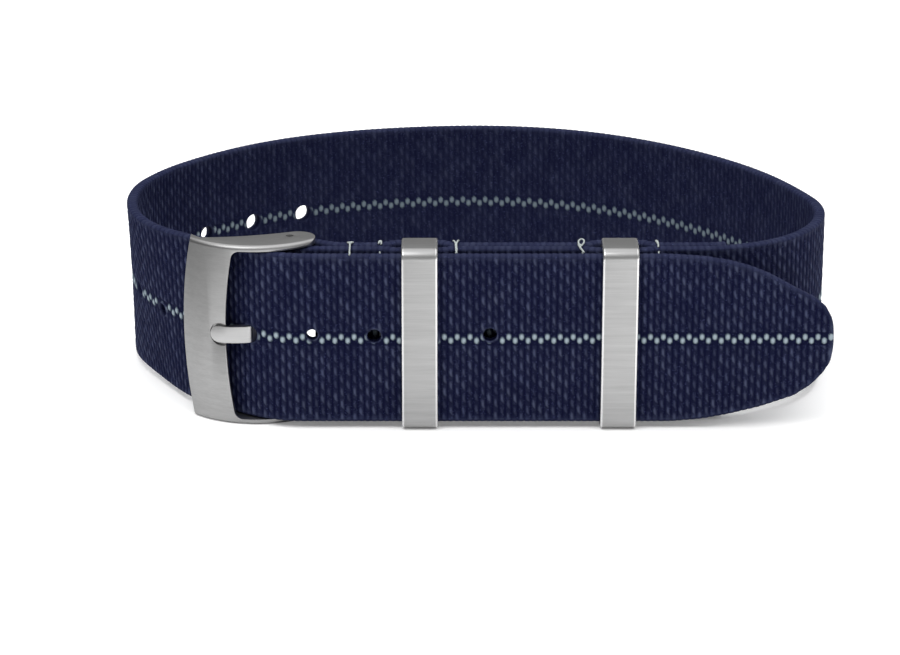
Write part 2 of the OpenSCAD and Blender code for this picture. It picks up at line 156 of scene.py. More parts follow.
def middle_line():
    """Dense points of the strap, from the tail's tip to the lining's end, and marks between its runs."""
    runs = [
        ("tail", line_points(TIP_X, BEND_START, HALF)),
        ("bend", arc_points(BEND_C, BEND_R, -90, -90 - BEND_A)),
        ("run", np.linspace(BEND_END, RUN_END, 140)),
        ("left", arc_points(LEFT_C, LEFT_R, -90 - BEND_A, -90 - BEND_A - LEFT_A)),
        ("back", arc_points(BACK_C, BACK_R, 90 + LEFT_OUT, BACK_TO)),
        ("right", arc_points(RIGHT_C, RIGHT_R, BACK_TO, -90)),
        ("outer", line_points(RIGHT_C[0], FOLD_ROW, lambda x: PLY_Y - POCKET_FRONT * bulges(x))),
        ("fold_a", line_points(FOLD_ROW, BAR[0], fold_front)),
        ("fold_b", arc_points(BAR, FOLD_R, 270, 90)),
        ("fold_c", line_points(BAR[0], FOLD_ROW, fold_rear)),
        ("lining", line_points(FOLD_ROW, RIGHT_C[0], lambda x: LINING_Y + POCKET_BACK * bulges(x))),
        ("end", arc_points(RIGHT_C, RIGHT_R - THICK, -90, -90 + LINING_END_A)),
    ]
    pts, marks, total = [], {}, 0.0
    for name, p in runs:
        if pts:
            p = p[1:]
            total += float(np.hypot(*(p[0] - pts[-1][-1])))
        marks[name] = total
        total += float(np.hypot(*np.diff(p, axis=0).T).sum())
        pts.append(p)
    p = np.vstack(pts)
    s = np.r_[0, np.cumsum(np.hypot(*np.diff(p, axis=0).T))]
    marks["stop"] = float(s[-1])
    even = np.arange(0, s[-1], LINE_STEP)
    x, y = np.interp(even, s, p[:, 0]), np.interp(even, s, p[:, 1])
    k = smoothing(LINE_SMOOTHED)
    xs, ys = np.convolve(x, k, "same"), np.convolve(y, k, "same")
    for smoothed, plain in ((xs, x), (ys, y)):
        smoothed[:LINE_KEPT], smoothed[-LINE_KEPT:] = plain[:LINE_KEPT], plain[-LINE_KEPT:]
    h = np.unwrap(np.arctan2(np.gradient(ys), np.gradient(xs)))
    return even, xs, ys, h, marks


LINE_S, LINE_X, LINE_Y, LINE_H, MARKS = middle_line()

# the weave
RIB = 0.72           # spacing of the cross ribs along the strap
BEAD = 1.54          # spacing of the floats on a rib
BEAD_HALF = 0.37     # half a float's length, in spacings
BEAD_FAT, FAT_STRAY = 0.44, 0.14                # half its thickness, in half ribs, and what some have more
BEAD_OFF, BEAD_BENT, BEAD_SLANT, BEAD_STRAY = 0.1, 0.32, 0.26, 0.24     # how it lies across its rib
RIB_SHIFT = 0.77     # how far the floats of every second rib are moved
RIB_STRAY = 0.3      # scatter of that
RELIEF = 0.20        # depth of the weave
CORD = 0.09          # height of the bare rib over the deepest point
STRIPE_V = 0.1       # the stripe's middle above the strap's middle
STRIPE_SWING = 0.22  # its dots lie that far to either side
STRIPE_HALF = 0.86   # half the width of the plain strip that they lie in
DOT_HALF = 0.43      # half a dot's height
STRIPE_CORD, DOT_SUNK = 0.05, 0.04              # rib between the dots, and how far the dots' crown is sunk
DULLEST = 0.35       # tone of the dullest float; the brightest has 1
STEPS = 5            # mesh rings per rib
ON_RIB = 1e-6        # keeps a ring that lies on the line between two ribs with the second


def hashed(*parts):
    """Repeatable scatter between 0 and 1 from whole numbers."""
    t = sum(p * c for p, c in zip(parts, (12.9898, 78.233, 37.719)))
    f = np.sin(t) * 43758.5453
    return f - np.floor(f)


def dome(square):
    """Height of a round body where the squared distance from its middle is this share of its reach."""
    return np.sqrt(np.clip(1 - square, 0, 1))


def on_rib(s):
    """Number of the rib at a distance along the strap, and place on it from -1 to 1."""
    rib = np.floor(s / RIB + ON_RIB)
    return rib, 2 * (s / RIB - rib) - 1


def weave(s, v, side):
    """Height below the crown of the yarns (0 to -RELIEF), stripe share and tone of each point."""
    rib, u = on_rib(s)
    odd = rib % 2
    w = (v - odd * RIB_SHIFT - (hashed(rib, side) - 0.5) * RIB_STRAY) / BEAD
    k = np.round(w)
    q = (w - k) / BEAD_HALF
    across = (-u if side == 0 else u) + BEAD_OFF - BEAD_BENT * q * q + BEAD_SLANT * q
    across = across + BEAD_STRAY * (hashed(rib, k, side + 7) - 0.5)
    fat = BEAD_FAT + FAT_STRAY * hashed(rib, k, side)
    bead = dome((across / fat) ** 2 + q * q)
    cord = dome((u / 1.04) ** 2)
    h = -RELIEF + CORD * cord + (RELIEF - CORD) * bead
    dv = (v - STRIPE_V - STRIPE_SWING * (1 - 2 * odd)) / DOT_HALF
    d = np.sqrt((u / 0.9) ** 2 + dv ** 2)
    zone = np.clip((STRIPE_HALF - np.abs(v - STRIPE_V)) / 0.12, 0, 1)
    h = h * (1 - zone) + zone * (-RELIEF + STRIPE_CORD * cord + (RELIEF - DOT_SUNK) * dome(d ** 2))
    stripe = np.clip((1.06 - d) / 0.22, 0, 1)
    tone = DULLEST + (1 - DULLEST) * hashed(rib, k, side + 3)
    return h, stripe, tone


# the cut and sealed tip is a little uneven: distance from the tip, and height of its upper and lower edge
TIP_UPPER = ((0, 0), (0.03, 1.25), (0.2, 2.3), (0.92, 3.7), (2.15, 4.8), (4.83, 6.2), (7.29, 7.6),
             (9.5, 8.5), (11.87, 9.18), (14.8, 9.65), (18.8, 9.9), (30, 9.9))
TIP_LOWER = ((0, 0), (0.03, 1.25), (0.32, 2.75), (1.1, 4.05), (2.2, 5.3), (4.2, 6.75), (8.0, 8.1),
             (11.5, 9.0), (14.6, 9.6), (18, 9.9), (30, 9.9))


def edge_height(s, table):
    """Height of one edge of the tip, smoothed, from its table."""
    d, h = np.array(table, float).T
    root = np.arange(-600, 601) * 0.01
    fine = np.sign(root) * np.interp(root ** 2, d, h)
    fine[16:-16] = np.convolve(fine, smoothing(33), "valid")
    return np.interp(np.sqrt(s), root, fine)


def half_width(s):
    """Half the strap's width at a distance from its tip."""
    return (edge_height(s, TIP_UPPER) + edge_height(s, TIP_LOWER)) / 2


def width_middle(s):
    """How far the middle of that width lies above the strap's middle."""
    return (edge_height(s, TIP_UPPER) - edge_height(s, TIP_LOWER)) / 2


def used_hole():
    """Distance from the tip at which the tang crosses the strap, which is in its first 84 mm."""
    t = np.linspace(0, 1.2, 400)
    px, py = BAR[0] + TANG_BEND[0] * t, BAR[1] + TANG_BEND[1] * t
    near = [np.hypot(LINE_X - a, LINE_Y - b)[:round(84 / LINE_STEP)] for a, b in zip(px, py)]
    i = int(np.argmin([n.min() for n in near]))
    return float(LINE_S[int(np.argmin(near[i]))])


# holes that aren't in their row: how far each lies above the middle, and how far along from its even place
HOLE_UP = {0: 0.55, 1: 0.4, 2: 0.5, 3: 0.55, 6: -0.3, 10: 0.2}
HOLE_ALONG = {3: 0.36, 6: 2.2, 7: 2.0, 8: 1.2, 10: -0.35, 11: 0.0, 12: 1.0, 13: 1.7}
TANG_EASED = 1.1     # the drawn tang crosses the strap that much further on than the plain one
HOLE_R = 0.8         # in the front, where the webbing has closed round the hole a little
HOLE_OPEN_R = 1.05   # from the bend on, which draws the holes open
HOLE_SMALL = {3: 0.66}
FIRST_OPEN = 7


def hole_radius(k):
    return HOLE_SMALL.get(k, HOLE_R if k < FIRST_OPEN else HOLE_OPEN_R)


# distance from the tip, place above the middle, and radius of each hole
HOLE_LIST = [(HOLE_FIRST + HOLE_PITCH * k + HOLE_ALONG.get(k, 0.0), HOLE_UP.get(k, 0.0), hole_radius(k))
             for k in range(HOLES) if k != HOLE_USED]
HOLE_LIST.append((used_hole() + TANG_EASED, 0.0, HOLE_OPEN_R))


def add_object(name, mesh, *materials):
    mesh.materials.clear()
    for material in materials:
        mesh.materials.append(material)
    o = bpy.data.objects.new(name, mesh)
    bpy.context.scene.collection.objects.link(o)
    return o


def add_mesh(name, verts, faces, material, smooth=True):
    me = bpy.data.meshes.new(name)
    me.from_pydata([tuple(v) for v in verts], [], faces)
    me.validate()
    me.polygons.foreach_set("use_smooth", [smooth] * len(me.polygons))
    return add_object(name, me, material)


def face_outwards(o, end_corners=None):
    """Drops loose points and turns all faces outwards; faces with end_corners corners get sharp edges."""
    bm = bmesh.new()
    bm.from_mesh(o.data)
    loose = [w for w in bm.verts if not w.link_faces]
    bmesh.ops.delete(bm, geom=loose, context="VERTS")
    for face in bm.faces:
        if len(face.verts) == end_corners:
            for edge in face.edges:
                edge.smooth = False
    bmesh.ops.recalc_face_normals(bm, faces=bm.faces)
    bm.to_mesh(o.data)
    bm.free()


# how the limp webbing strays from its plan: amount, middle and reach of each swell along the strap
PUSHED_OUT = ((-0.3, 80, 13), (0.34, 92, 15), (0.45, 114, 30), (0.18, 158, 26), (0.25, 211, 14))
FLARED = ((1.1, 82.5, 12), (-0.25, 108, 16))    # outward at the upper edge and inward at the lower
RISEN = ((0.34, 90, 12), (0.14, 159, 24), (0.18, 206, 12))
LOWER_EDGE_LIFT = 0.75                          # upward at the lower edge alone, before the right side


def swell(s, middle, reach):
    """Smooth rise and fall round a place along the strap."""
    return (1 + np.cos(np.pi * np.clip((s - middle) / reach, -1, 1))) / 2


def swells(s, table):
    return sum(amount * swell(s, middle, reach) for amount, middle, reach in table)


def slack(s, v):
    """How the limp webbing strays from its plan: outward push and rise, in mm."""
    lift = np.clip(-v / HALF_WIDTH, 0, 1) * LOWER_EDGE_LIFT * swell(s, 222, 15)
    return swells(s, PUSHED_OUT) + swells(s, FLARED) * v / HALF_WIDTH, swells(s, RISEN) + lift


def lean_share(s):
    """How much of the loop's lean applies: none on the level front, all of it round the loop.
    It sets in over 10 mm at the bend and fades over 9 mm before the outer layer."""
    up = np.clip((s - TAIL + 3) / 10, 0, 1)
    down = np.clip((MARKS["outer"] + 2 - s) / 9, 0, 1)
    return np.minimum(up * up * (3 - 2 * up), down * down * (3 - 2 * down))


def clearness(s):
    """How clear the weave is on the inner face: 0.4 of it round the back, and 0.64 on the right side."""
    return 1 - 0.6 * ease((s - 92) / 36) * (1 - 0.4 * ease((s - 185) / 30))


EDGE_R = 0.42        # rounding of the selvedges and of the sealed tip
EDGE_COLS = 8        # mesh columns round a selvedge
HOLE_CLEAR = 1.2     # a hole whose middle lies nearer to a seam isn't cut
HOLE_REACH = 2.3     # radii up to which the skin gives way
PLAIN = 0.44         # even level of the painted shade and highlight of the yarn where the weave doesn't show
LOOP_LOW, LOOP_RISE = 0.34, 0.26                # painted shade between the loops of the selvedges, and painted highlight on them
TIP_RINGS = (0.0, 0.004, 0.016, 0.04, 0.08)     # places of the first rings, where the sealed tip rounds off
HOLE_PAINT = (0.05, 0, 0.6, 1)                  # height of the yarn, stripe share and tone in a hole's wall; the low height paints shade into the hole


def column(a):
    return a[:, None]


class Grid:
    """Numbering of a ribbon's points, in rings along the strap. A ring is the front face from its lower to
    its upper edge, the upper selvedge, the back face the other way, and the lower selvedge."""

    def __init__(self, rings, across):
        self.rings, self.across = rings, across
        m = across + 1
        self.count = 2 * (m + EDGE_COLS)
        self.front, self.upper = slice(0, m), slice(m, m + EDGE_COLS)
        self.back, self.lower = slice(m + EDGE_COLS, 2 * m + EDGE_COLS), slice(2 * m + EDGE_COLS, self.count)

    def point(self, i, j):
        return i * self.count + j % self.count

    def behind(self, j):
        """Column of the back face behind column j of the front face."""
        return self.across + 1 + EDGE_COLS + (self.across - j)

    def behind_cell(self, j):
        return self.behind(j + 1)


def cross_sections(s, across):
    """Each point's place across the strap, the side it is on, and its height off the middle line."""
    hw = half_width(s)
    rc = np.minimum(EDGE_R, hw)
    tip = np.sqrt(np.clip(EDGE_R ** 2 - (EDGE_R - s) ** 2, 0, None)) + HALF - EDGE_R
    thin = np.where(s < EDGE_R, tip, HALF)
    f = np.linspace(-1, 1, across + 1)
    quarter = np.radians([22.5, 45, 67.5, 90])
    turn = np.r_[quarter, quarter[::-1]]
    v_face = column(hw - rc) * f
    n_face = column(thin) * np.ones_like(f)
    v_edge = column(hw - rc) + column(rc) * np.sin(turn)
    sign = np.r_[[1] * 4, [-1] * 4]
    n_edge = sign * (column(thin - rc) + column(rc) * np.cos(turn))
    v = np.hstack([v_face, v_edge, v_face[:, ::-1], -v_edge])
    n = np.hstack([n_face, n_edge, -n_face, -n_edge])
    return v + column(width_middle(s)), np.sign(v), n, v_face


def open_holes(grid, ds, s, ss, v, v_face):
    """Pushes the skin away from each hole's middle. Gives the cells inside and the points round each hole."""
    inside, loops = set(), []
    for hs, hv, hr in HOLE_LIST:
        if not (s[0] + HOLE_CLEAR < hs < s[-1] - HOLE_CLEAR):
            continue
        i0 = int(np.argmin(np.abs(s - hs)))
        j0 = int(np.argmin(np.abs(v_face[i0] - hv)))
        v0 = float(v_face[i0, j0])
        small = hr < 1
        mi = 3 if small else 4                                  # cells left out to each side, along
        mj = 2 if grid.across < 120 and small else 3            # and across
        reach = HOLE_REACH * hr
        start = 0.9 * max(mi * ds, mj * WIDTH / grid.across)
        for face in (grid.front, grid.back):
            d_s, d_v = ss[:, face] - s[i0], v[:, face] - v0
            d = np.hypot(d_s, d_v)
            near = (d < reach) & (d > 1e-6)
            new = hr + (reach - hr) * np.clip((d - start) / (reach - start), 0, 1)
            scale = np.where(near, new / np.maximum(d, 1e-6), 1)
            rows, cols = np.where(near)
            ss[:, face][rows, cols] = s[i0] + (d_s * scale)[rows, cols]
            v[:, face][rows, cols] = v0 + (d_v * scale)[rows, cols]
        for i in range(i0 - mi, i0 + mi):
            for j in range(j0 - mj, j0 + mj):
                inside.update(((i, j), (i, grid.behind_cell(j))))
        loop = [(i, j0 - mj) for i in range(i0 - mi, i0 + mi)]
        loop += [(i0 + mi, j) for j in range(j0 - mj, j0 + mj)]
        loop += [(i, j0 + mj) for i in range(i0 + mi, i0 - mi, -1)]
        loop += [(i0 - mi, j) for j in range(j0 + mj, j0 - mj, -1)]
        for i, j in loop:           # made exactly round
            for jj in (j, grid.behind(j)):
                d_s, d_v = ss[i, jj] - s[i0], v[i, jj] - v0
                d = math.hypot(d_s, d_v)
                ss[i, jj], v[i, jj] = s[i0] + d_s * hr / d, v0 + d_v * hr / d
        loops.append([((i, j), (i, grid.behind(j))) for i, j in loop])
    return inside, loops


def add_weave(grid, s, ss, v, out, n):
    """Raises the weave on both faces and the loops of yarn along the selvedges.
    Gives each point's paint: painted shade and highlight from the height of the yarn, stripe share and tone."""
    paint = np.zeros((grid.rings, grid.count, 4))
    paint[..., 3] = 1
    hw, middle = column(half_width(s)), column(width_middle(s))
    for face, side in ((grid.front, 0), (grid.back, 1)):
        fs, fv = ss[:, face], v[:, face]
        h, stripe, tone = weave(fs, fv, side)
        # the weave dies away over 0.9 mm to an edge, 0.8 mm to the tip and 0.2 mm to a hole
        calm = np.clip((hw - np.abs(fv - middle)) / 0.9, 0, 1) * np.clip(fs / 0.8, 0, 1)
        for hs, hv, hr in HOLE_LIST:
            away = np.hypot(fs - hs, fv - hv) - hr
            calm = calm * np.clip(away / 0.25 + 0.25, 0.25, 1)
            stripe = stripe * np.clip((away - 0.1) / 0.2, 0, 1)
        # there, but not at holes, low loops of yarn take its place
        edge_loop = dome(on_rib(fs)[1] ** 2 / 1.1)
        h = h * calm + (1 - calm) * (-0.10 + 0.08 * edge_loop) * (np.abs(fv) > 3)
        clear = clearness(fs) if side else np.ones_like(fs)
        n[:, face] += (-1 if side else 1) * h * clear
        # the height of the yarn is painted on as shade in the grooves and as highlight on the crowns
        crown = np.clip(1 + h / RELIEF, 0, 1)
        paint[:, face, 0] = PLAIN + (crown - PLAIN) * clear
        paint[:, face, 1] = stripe
        paint[:, face, 2] = tone
    for edge in (grid.upper, grid.lower):
        fs = ss[:, edge]
        rib, u = on_rib(fs)
        loop_h = dome(u ** 2 / 1.08)
        v[:, edge] += out[:, edge] * (-0.05 + 0.05 * loop_h) * np.clip(fs / 0.8, 0, 1)
        n[:, edge] *= 0.9 + 0.1 * loop_h
        # painted shade between the selvedge loops and painted highlight on their tops
        paint[:, edge, 0] = LOOP_LOW + LOOP_RISE * loop_h
        paint[:, edge, 2] = 0.6 + 0.4 * hashed(rib, 5)
    return paint


def laid_along(ss, v, n):
    """The flat grid bent along the middle line, with its slack and the loop's lean; points in metres."""
    heading = np.interp(ss, LINE_S, LINE_H)
    push, rise = slack(ss, v)
    x = np.interp(ss, LINE_S, LINE_X) - np.sin(heading) * (n + push)
    y = np.interp(ss, LINE_S, LINE_Y) + np.cos(heading) * (n + push)
    z = MID_Z + v + rise
    a = lean_share(ss)
    dy, dz = y - HALF, z - RIM
    y = y + a * (dy * (math.cos(LEAN) - 1) + dz * math.sin(LEAN))
    z = z - a * (dy * math.sin(LEAN) + dz * (1 - math.cos(LEAN)))
    return np.stack([(x + SHIFT[0]) * MM, (y + SHIFT[1]) * MM, z * MM], axis=-1).reshape(-1, 3)


def slot_cells(grid, s, v_face, slot):
    """Cells of both faces that lie in a slot; a slot is boxes of from and to along, from and to across."""
    cells = set()
    for lo_s, hi_s, lo_v, hi_v in slot:
        for i in range(grid.rings - 1):
            if lo_s < s[i] < hi_s:
                for j in range(grid.across):
                    if lo_v < (v_face[i, j] + v_face[i, j + 1]) / 2 < hi_v:
                        cells.update(((i, j), (i, grid.behind_cell(j))))
    return cells


def slot_walls(grid, cells):
    """Walls from the front face to the back face round a slot."""
    faces = []
    for i, j in cells:
        if j >= grid.across:
            continue
        sides = (((i - 1, j), (i, j), (i, j + 1)), ((i + 1, j), (i + 1, j + 1), (i + 1, j)),
                 ((i, j - 1), (i + 1, j), (i, j)), ((i, j + 1), (i, j + 1), (i + 1, j + 1)))
        for cell, (ai, aj), (bi, bj) in sides:
            if cell not in cells and 0 <= cell[0] < grid.rings - 1:
                faces.append((grid.point(ai, aj), grid.point(bi, bj),
                              grid.point(bi, grid.behind(bj)), grid.point(ai, grid.behind(aj))))
    return faces


def hole_walls(grid, verts, loops):
    """Walls of the holes, in two steps with a ring of points half way. Gives those points and the faces."""
    extra, faces = [], []
    for loop in loops:
        base = len(verts) + len(extra)
        ends = [(grid.point(*a), grid.point(*b)) for a, b in loop]
        extra += [(verts[a] + verts[b]) / 2 for a, b in ends]
        for q, (f0, b0) in enumerate(ends):
            r = (q + 1) % len(ends)
            f1, b1 = ends[r]
            faces.append((f0, f1, base + r, base + q))
            faces.append((base + q, base + r, b1, b0))
    return extra, faces


def ribbon(name, s0, s1, steps=STEPS, across=110, slot=()):
    """A length of the strap as a closed skin: both woven faces, both selvedges, its ends and its holes."""
    ds = RIB / steps
    s = np.arange(round(s0 / ds), round(s1 / ds) + 1) * ds
    s[0], s[-1] = s0, s1
    if s0 == 0:
        s = np.r_[TIP_RINGS, s[1:]]
    grid = Grid(len(s), across)
    v, out, n, v_face = cross_sections(s, across)
    ss = np.repeat(column(s), grid.count, axis=1)
    inside, loops = open_holes(grid, ds, s, ss, v, v_face)
    colours = add_weave(grid, s, ss, v, out, n).reshape(-1, 4)
    verts = laid_along(ss, v, n)

    in_slot = slot_cells(grid, s, v_face, slot)
    faces = [(grid.point(i, j), grid.point(i, j + 1), grid.point(i + 1, j + 1), grid.point(i + 1, j))
             for i in range(grid.rings - 1) for j in range(grid.count)
             if (i, j) not in inside and (i, j) not in in_slot]
    faces += slot_walls(grid, in_slot)
    extra, wall_faces = hole_walls(grid, verts, loops)
    faces += wall_faces
    if extra:
        verts = np.vstack([verts, np.array(extra)])
        colours = np.vstack([colours, np.array([HOLE_PAINT] * len(extra))])
    if s0 > 0:
        faces.append(tuple(grid.point(0, j) for j in reversed(range(grid.count))))
    faces.append(tuple(grid.point(grid.rings - 1, j) for j in range(grid.count)))
    o = add_mesh(name, verts, faces, WEB)
    layer = o.data.color_attributes.new("Weave", "FLOAT_COLOR", "POINT")
    layer.data.foreach_set("color", colours.astype(np.float32).ravel())
    face_outwards(o, end_corners=grid.count)
    return o


def linear(hexa):
    """sRGB hex to linear colour."""
    out = []
    for i in (1, 3, 5):
        c = int(hexa[i:i + 2], 16) / 255
        out.append(c / 12.92 if c <= 0.04045 else ((c + 0.055) / 1.055) ** 2.4)
    return (*out, 1.0)


def new_material(name, **values):
    """A material, its tree and its shader, whose inputs get the values."""
    m = bpy.data.materials.new(name)
    m.use_nodes = True
    shader = m.node_tree.nodes["Principled BSDF"]
    for key, value in values.items():
        shader.inputs[key.replace("_", " ")].default_value = value
    return m, m.node_tree, shader


def add(tree, kind, links=(), **settings):
    """Adds a node, sets its fields and sockets, and links (socket name or index, source socket) pairs."""
    n = tree.nodes.new(kind)
    for key, value in settings.items():
        if hasattr(n, key):
            setattr(n, key, value)
    for where, source in links:
        if hasattr(source, "is_output"):
            tree.links.new(source, n.inputs[where])
        else:
            n.inputs[where].default_value = source
    return n


def per_mm(k):
    """Scale of a pattern that repeats k times in a mm."""
    return k * 1000.0


def noise(tree, where, scale, detail=2.0):
    return add(tree, "ShaderNodeTexNoise",
               [("Vector", where), ("Scale", scale), ("Detail", detail)]).outputs["Fac"]


def maths(tree, operation, a, b):
    return add(tree, "ShaderNodeMath", [(0, a), (1, b)], operation=operation).outputs[0]


def spread(tree, value, lo, hi, to_lo, to_hi, **settings):
    """The value, spread from the range lo to hi over the range to_lo to to_hi."""
    return add(tree, "ShaderNodeMapRange", [(0, value), (1, lo), (2, hi), (3, to_lo), (4, to_hi)],
               **settings).outputs[0]


def mixed(tree, share, a, b):
    """Colour between a and b."""
    return add(tree, "ShaderNodeMix", [(0, share), (6, a), (7, b)], data_type="RGBA").outputs[2]


def between(tree, share, a, b):
    """Number between a and b."""
    return add(tree, "ShaderNodeMix", [(0, share), (2, a), (3, b)]).outputs[0]


def bumped(tree, shader, height, depth, strength):
    bump = add(tree, "ShaderNodeBump",
               [("Height", height), ("Distance", depth * MM), ("Strength", strength)])
    tree.links.new(bump.outputs["Normal"], shader.inputs["Normal"])


def webbing_material():
    """Dyed polyester yarn over elastic, woven in ribs; the pale stripe is a few undyed yarns in the middle.
    To the eye: matt, with a faint fuzz; its colour is painted near black between the yarns as painted shade and
    a soft blue grey on their crowns as painted highlight."""
    m, t, p = new_material("Woven_Elastic_Webbing", Roughness=0.72, Specular_IOR_Level=0.06,
                           Sheen_Weight=0.05, Sheen_Roughness=0.45, Sheen_Tint=linear("#7684e0"))
    at = add(t, "ShaderNodeAttribute", attribute_name="Weave")
    ch = add(t, "ShaderNodeSeparateColor", [(0, at.outputs["Color"])])
    crown, stripe, tone = ch.outputs
    place = add(t, "ShaderNodeTexCoord").outputs["Object"]
    fibre = noise(t, place, per_mm(5.2))
    patch = noise(t, place, per_mm(0.42))
    # painted shade between the yarns and painted highlight on their crowns, scaled by each float's random tone;
    # the stripe's dots get the same
    painted_light_share = maths(t, "POWER", crown, 2.1)
    yarn = mixed(t, patch, linear("#404768"), linear("#565c71"))
    body = mixed(t, maths(t, "MULTIPLY", painted_light_share, tone), linear("#080c2c"), yarn)
    fuzz = spread(t, fibre, 0.60, 0.78, 0.0, 0.4)
    hairy = mixed(t, fuzz, body, linear("#525a86"))
    pale = mixed(t, painted_light_share, linear("#33424f"), linear("#a6b4bd"))
    t.links.new(mixed(t, stripe, hairy, pale), p.inputs["Base Color"])
    bumped(t, p, fibre, 0.03, 0.5)
    return m


def thread_material():
    """Bonded polyester sewing thread, undyed. To the eye: off-white, half matt, its plies a shade apart."""
    m, t, p = new_material("Bonded_White_Thread", Roughness=0.6)
    ply = noise(t, add(t, "ShaderNodeTexCoord").outputs["Object"], per_mm(6.5))
    t.links.new(mixed(t, ply, linear("#848b8c"), linear("#c3cbc9")), p.inputs["Base Color"])
    return m


LINES_DRAWN = (0.035, 0.3, 1.0)     # along the strap a line is some 30 times as long as it is high


def steel_material(name, base, rough, lines, depth):
    """Stainless steel with fine lines along the strap: its roughness, how dark and how deep the lines are."""
    m, t, p = new_material(name, Metallic=1.0)
    place = add(t, "ShaderNodeTexCoord").outputs["Object"]
    drawn = add(t, "ShaderNodeMapping", [("Vector", place), ("Scale", LINES_DRAWN)]).outputs[0]
    fine = noise(t, drawn, per_mm(9.0), 3.0)
    broad = noise(t, drawn, per_mm(1.8))
    both = maths(t, "ADD", fine, broad)
    share = spread(t, both, 0.6, 1.4, 0.0, 1.0)
    dark = tuple(c * (1 - lines) for c in linear(base)[:3]) + (1,)
    t.links.new(mixed(t, share, dark, linear(base)), p.inputs["Base Color"])
    t.links.new(spread(t, share, 0.0, 1.0, rough + 0.06, rough - 0.04), p.inputs["Roughness"])
    bumped(t, p, both, depth, 0.6)
    return m


WEB = webbing_material()
THREAD = thread_material()
# linished sheet of the frame and the keepers: a broad soft mirror of floor and room, with level lines in it
BRUSHED = steel_material("Brushed_Stainless_Sheet", "#c2c2c2", 0.34, 0.16, 0.012)
# bar of the tang: a shade lighter and smoother than the plate, with lines that hardly show
SATIN = steel_material("Satin_Stainless_Bar", "#d4d4d4", 0.3, 0.1, 0.008)
# turned and wire parts of the spring bar: darker, plain, with a dull shine
TURNED = steel_material("Turned_Stainless_Rod", "#8c8c8c", 0.32, 0.05, 0.002)
# tumbled edges: smoother and nearly clear, and painted far lighter than the sheet as a painted highlight, so
# that each edge is drawn by a fine light line
POLISHED_EDGE_HIGHLIGHT = steel_material("Polished_Stainless_Edge_Highlight", "#fafafa", 0.2, 0.02, 0.001)

# the strap's pieces; where each begins, in whole ribs from the tip
SEAMS = {name: ribs * RIB for name, ribs in (("bend", 64), ("plate", 97), ("left", 116), ("back", 166),
                                             ("middle", 214), ("right", 264), ("outer", 305))}
FOLD_FROM = round(MARKS["fold_a"] / RIB) * RIB
FOLD_TO = round(MARKS["lining"] / RIB) * RIB
STRAP_END = MARKS["stop"] - 0.05
# the tang's slot through both sides of the fold, longer and lower in the rear
SLOT = ((MARKS["fold_b"] - 3.0, MARKS["fold_c"] - 1.0, -1.3, 1.3),
        (MARKS["fold_c"] - 1.1, MARKS["fold_c"] + 2.9, -3.6, 1.3))
FINE = {"across": 130}
PLIES = {"steps": 4, "across": 80}

tail_a = ribbon("Tail_Webbing_Front", 0, SEAMS["bend"], **FINE)
tail_b = ribbon("Tail_Webbing_At_Buckle", SEAMS["bend"], SEAMS["plate"], **FINE)
left_a = ribbon("Webbing_Left_Front", SEAMS["plate"], SEAMS["left"])
left_b = ribbon("Webbing_Left_Side", SEAMS["left"], SEAMS["back"])
back_a = ribbon("Webbing_Back_Left", SEAMS["back"], SEAMS["middle"])
back_b = ribbon("Webbing_Back_Right", SEAMS["middle"], SEAMS["right"])
right = ribbon("Webbing_Right_Side", SEAMS["right"], SEAMS["outer"])
outer = ribbon("Outer_Layer_Webbing", SEAMS["outer"], FOLD_FROM, **PLIES)
fold = ribbon("Fold_Round_Spring_Bar", FOLD_FROM, FOLD_TO, slot=SLOT, **PLIES)
lining = ribbon("Lining_Webbing", FOLD_TO, STRAP_END, **PLIES)

# the sewing
THREAD_R = 0.1
STITCHES = 9         # in a row
STAND = 0.06         # of the thread's middle off the webbing
NEEDLE_GAP = 0.12    # from a stitch's end to the needle hole
ROW_FROM_KEEPER = 4.25


def tube(points, radius, sides=8):
    """Vertices and faces of a round thread through points, in mm."""
    p = np.array(points, float)
    dense = np.linspace(0, len(p) - 1, (len(p) - 1) * 6 + 1)
    q = np.c_[[np.interp(dense, range(len(p)), p[:, k]) for k in range(3)]].T
    for _ in range(3):
        q[1:-1] = (q[:-2] + 2 * q[1:-1] + q[2:]) / 4
    t = np.gradient(q, axis=0)
    t /= np.linalg.norm(t, axis=1)[:, None] + 1e-12
    aside = np.array([0.31, 0.22, 0.92])    # along no thread
    a = np.cross(t, aside)
    a /= np.linalg.norm(a, axis=1)[:, None]
    b = np.cross(t, a)
    ring = np.radians(np.arange(sides) * 360 / sides)
    round_a, round_b = np.cos(ring)[None, :, None] * a[:, None], np.sin(ring)[None, :, None] * b[:, None]
    v = q[:, None] + radius * (round_a + round_b)
    n = len(q)
    f = [(i * sides + j, i * sides + (j + 1) % sides, (i + 1) * sides + (j + 1) % sides, (i + 1) * sides + j)
         for i in range(n - 1) for j in range(sides)]
    f += [tuple(range(sides))[::-1], tuple((n - 1) * sides + j for j in range(sides))]
    return v.reshape(-1, 3), f


